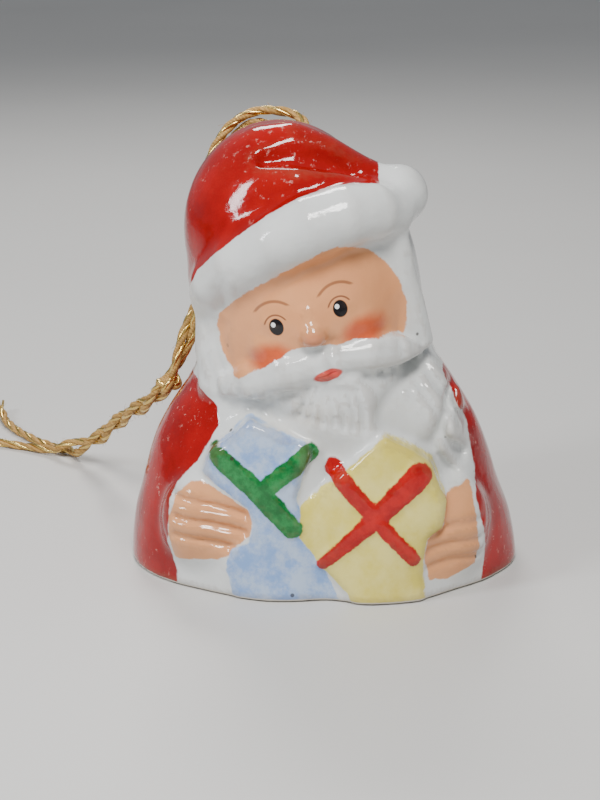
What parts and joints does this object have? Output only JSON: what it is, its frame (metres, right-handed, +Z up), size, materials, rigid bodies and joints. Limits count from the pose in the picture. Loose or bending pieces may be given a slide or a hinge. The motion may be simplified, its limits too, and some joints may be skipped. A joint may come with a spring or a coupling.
{
  "type": "christmas bell ornament",
  "caption": "Glazed porcelain bell in the form of a bearded winter figure with a hat and parcels, with a hanging clapper and a doubled gold cord.",
  "frame": {"origin": "middle of the rim that the bell stands on, at the rim's height", "axes": "+Z up through the bell, -Y the way the figure faces, +X to the viewer's right"},
  "size_m": [0.0957, 0.088, 0.066],
  "materials": {
    "porcelain": "white glaze with painted red, skin, blue, yellow and green",
    "bead_glaze": "plain glaze",
    "brass_wire": "drawn, slightly dull",
    "gold_cord": "gold lame and yarn, twisted"
  },
  "bodies": {
    "bell": {"bell_shell": "porcelain", "cord_bight": "gold_cord", "cord_right_strand": "gold_cord", "cord_left_strand": "gold_cord", "cord_knot": "gold_cord"},
    "ring": {"clapper_ring": "brass_wire"},
    "clapper": {"clapper_wire": "brass_wire", "clapper_bead": "bead_glaze"}
  },
  "joints": [
    {"name": "ring_rock", "type": "hinge", "parent": "bell", "child": "ring", "pos_m": [-0.00465, 0.0036, 0.0552], "axis": [1, 0, 0], "range_deg": [-10, 4]},
    {"name": "clapper_swing", "type": "hinge", "parent": "ring", "child": "clapper", "pos_m": [-0.00465, 0.0036, 0.0524], "axis": [0, 1, 0], "range_deg": [-24, 14]}
  ]
}
